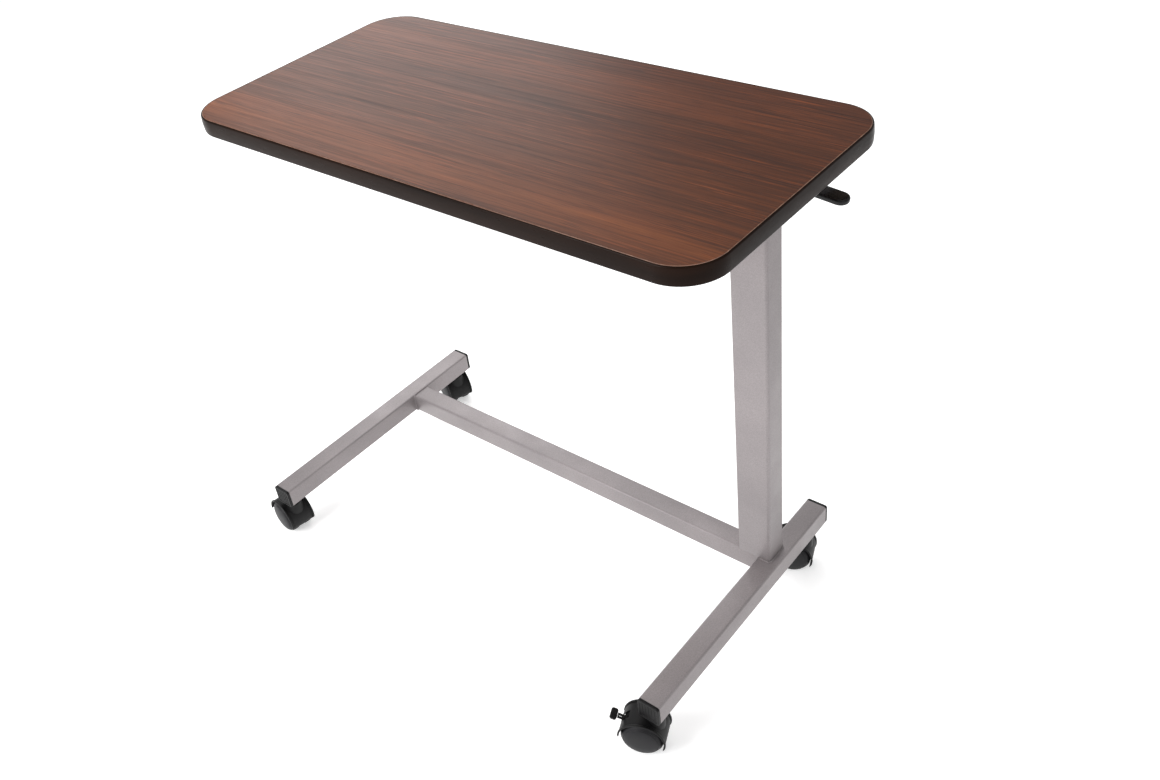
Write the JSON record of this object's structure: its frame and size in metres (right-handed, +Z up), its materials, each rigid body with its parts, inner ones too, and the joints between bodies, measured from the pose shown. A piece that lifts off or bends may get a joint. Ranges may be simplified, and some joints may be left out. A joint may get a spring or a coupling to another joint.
{
  "type": "overbed table",
  "caption": "Height-adjustable overbed table: rounded walnut-look top on a column at one end of an H base with twin-wheel casters and a release lever.",
  "frame": {"origin": "on the floor, under the middle of the whole table's box at its lowest height", "axes": "+X along the table top towards the column's end, +Y towards the back, +Z up"},
  "size_m": [0.8413, 0.4467, 0.715],
  "materials": {
    "walnut_laminate": "satin walnut-look laminate with a fine dark grain along the table",
    "particle_board": "raw pressed wood chips, matte",
    "backing_sheet": "plain brown-grey phenolic sheet",
    "edge_moulding": "dark brown PVC, satin gloss",
    "silver_paint": "silver-taupe powder coat with fine metallic speckle",
    "zinc_steel": "zinc-plated steel",
    "black_plastic": "moulded black nylon, satin",
    "wheel_plastic": "moulded black nylon, matte",
    "lever_plastic": "glossy black plastic",
    "cylinder_paint": "black painted steel"
  },
  "bodies": {
    "base": {"outer_column": "silver_paint", "column_guide_bush": "black_plastic", "column_foot_plate": "zinc_steel", "cross_rail": "silver_paint", "left_leg": "silver_paint", "right_leg": "silver_paint", "gas_spring_cylinder": "cylinder_paint", "end_plug_front_left": "black_plastic", "end_plug_rear_left": "black_plastic", "end_plug_front_right": "black_plastic", "end_plug_rear_right": "black_plastic", "caster_socket_front_left": "black_plastic", "caster_socket_rear_left": "black_plastic", "caster_socket_front_right": "black_plastic", "caster_socket_rear_right": "black_plastic"},
    "table_top": {"top_laminate": "walnut_laminate", "top_core": "particle_board", "top_backer": "backing_sheet", "top_edge_moulding": "edge_moulding", "top_mounting_plate": "silver_paint", "front_support_angle": "silver_paint", "rear_support_angle": "silver_paint", "wood_screw_front_left": "zinc_steel", "wood_screw_front_right": "zinc_steel", "wood_screw_rear_left": "zinc_steel", "wood_screw_rear_right": "zinc_steel", "wood_screw_front_angle": "zinc_steel", "wood_screw_rear_angle": "zinc_steel", "inner_column": "zinc_steel", "column_head_block": "zinc_steel", "lower_glide_shoe": "black_plastic", "gas_spring_rod": "zinc_steel", "rod_lock_nut": "zinc_steel", "lever_pivot_pin": "zinc_steel"},
    "release_lever": {"release_lever_arm": "zinc_steel", "lever_grip": "lever_plastic"},
    "release_pin": {"release_pin": "zinc_steel"},
    "caster_front_left": {"caster_housing_front_left": "black_plastic", "caster_stem_front_left": "zinc_steel", "axle_front_left": "zinc_steel"},
    "wheel_front_left_a": {"wheel_front_left_a": "wheel_plastic"},
    "wheel_front_left_b": {"wheel_front_left_b": "wheel_plastic"},
    "caster_rear_left": {"caster_housing_rear_left": "black_plastic", "caster_stem_rear_left": "zinc_steel", "axle_rear_left": "zinc_steel"},
    "wheel_rear_left_a": {"wheel_rear_left_a": "wheel_plastic"},
    "wheel_rear_left_b": {"wheel_rear_left_b": "wheel_plastic"},
    "caster_front_right": {"caster_housing_front_right": "black_plastic", "caster_stem_front_right": "zinc_steel", "axle_front_right": "zinc_steel"},
    "wheel_front_right_a": {"wheel_front_right_a": "wheel_plastic"},
    "wheel_front_right_b": {"wheel_front_right_b": "wheel_plastic"},
    "brake_front_right": {"brake_pedal_front_right": "black_plastic"},
    "caster_rear_right": {"caster_housing_rear_right": "black_plastic", "caster_stem_rear_right": "zinc_steel", "axle_rear_right": "zinc_steel"},
    "wheel_rear_right_a": {"wheel_rear_right_a": "wheel_plastic"},
    "wheel_rear_right_b": {"wheel_rear_right_b": "wheel_plastic"},
    "brake_rear_right": {"brake_pedal_rear_right": "black_plastic"}
  },
  "joints": [
    {"name": "column_lift", "type": "slide", "parent": "base", "child": "table_top", "axis": [0, 0, 1], "range_m": [0, 0.432]},
    {"name": "lever_lift", "type": "hinge", "parent": "table_top", "child": "release_lever", "pos_m": [0.3214, 0.0937, 0.6735], "axis": [0, -1, 0], "range_deg": [0, 8], "stiffness_Nm_per_rad": 0.3, "springref_deg": -11.46},
    {"name": "pin_press", "type": "slide", "parent": "table_top", "child": "release_pin", "axis": [0, 0, -1], "range_m": [0, 0.0019]},
    {"name": "swivel_front_left", "type": "hinge", "parent": "base", "child": "caster_front_left", "pos_m": [-0.3686, -0.1858, 0.06], "axis": [0, 0, 1], "continuous": true},
    {"name": "spin_front_left_a", "type": "hinge", "parent": "caster_front_left", "child": "wheel_front_left_a", "pos_m": [-0.38543, -0.18343, 0.0275], "axis": [-0.1392, -0.9903, 0], "continuous": true},
    {"name": "spin_front_left_b", "type": "hinge", "parent": "caster_front_left", "child": "wheel_front_left_b", "pos_m": [-0.38543, -0.18343, 0.0275], "axis": [-0.1392, -0.9903, 0], "continuous": true},
    {"name": "swivel_rear_left", "type": "hinge", "parent": "base", "child": "caster_rear_left", "pos_m": [-0.3686, 0.1877, 0.06], "axis": [0, 0, 1], "continuous": true},
    {"name": "spin_rear_left_a", "type": "hinge", "parent": "caster_rear_left", "child": "wheel_rear_left_a", "pos_m": [-0.38457, 0.19351, 0.0275], "axis": [-0.342, -0.9397, 0], "continuous": true},
    {"name": "spin_rear_left_b", "type": "hinge", "parent": "caster_rear_left", "child": "wheel_rear_left_b", "pos_m": [-0.38457, 0.19351, 0.0275], "axis": [-0.342, -0.9397, 0], "continuous": true},
    {"name": "swivel_front_right", "type": "hinge", "parent": "base", "child": "caster_front_right", "pos_m": [0.3294, -0.1858, 0.06], "axis": [0, 0, 1], "continuous": true},
    {"name": "spin_front_right_a", "type": "hinge", "parent": "caster_front_right", "child": "wheel_front_right_a", "pos_m": [0.31375, -0.19244, 0.0275], "axis": [0.3907, -0.9205, 0], "continuous": true},
    {"name": "spin_front_right_b", "type": "hinge", "parent": "caster_front_right", "child": "wheel_front_right_b", "pos_m": [0.31375, -0.19244, 0.0275], "axis": [0.3907, -0.9205, 0], "continuous": true},
    {"name": "brake_front_right", "type": "hinge", "parent": "caster_front_right", "child": "brake_front_right", "pos_m": [0.29396, -0.20084, 0.0405], "axis": [0.3907, -0.9205, 0], "range_deg": [0, 18]},
    {"name": "swivel_rear_right", "type": "hinge", "parent": "base", "child": "caster_rear_right", "pos_m": [0.3294, 0.1777, 0.06], "axis": [0, 0, 1], "continuous": true},
    {"name": "spin_rear_right_a", "type": "hinge", "parent": "caster_rear_right", "child": "wheel_rear_right_a", "pos_m": [0.31343, 0.17189, 0.0275], "axis": [0.342, -0.9397, 0], "continuous": true},
    {"name": "spin_rear_right_b", "type": "hinge", "parent": "caster_rear_right", "child": "wheel_rear_right_b", "pos_m": [0.31343, 0.17189, 0.0275], "axis": [0.342, -0.9397, 0], "continuous": true},
    {"name": "brake_rear_right", "type": "hinge", "parent": "caster_rear_right", "child": "brake_rear_right", "pos_m": [0.29322, 0.16453, 0.0405], "axis": [0.342, -0.9397, 0], "range_deg": [0, 18]}
  ],
  "couplings": [
    {"joint": "pin_press", "follows": "lever_lift", "m_per_rad": 0.013}
  ]
}
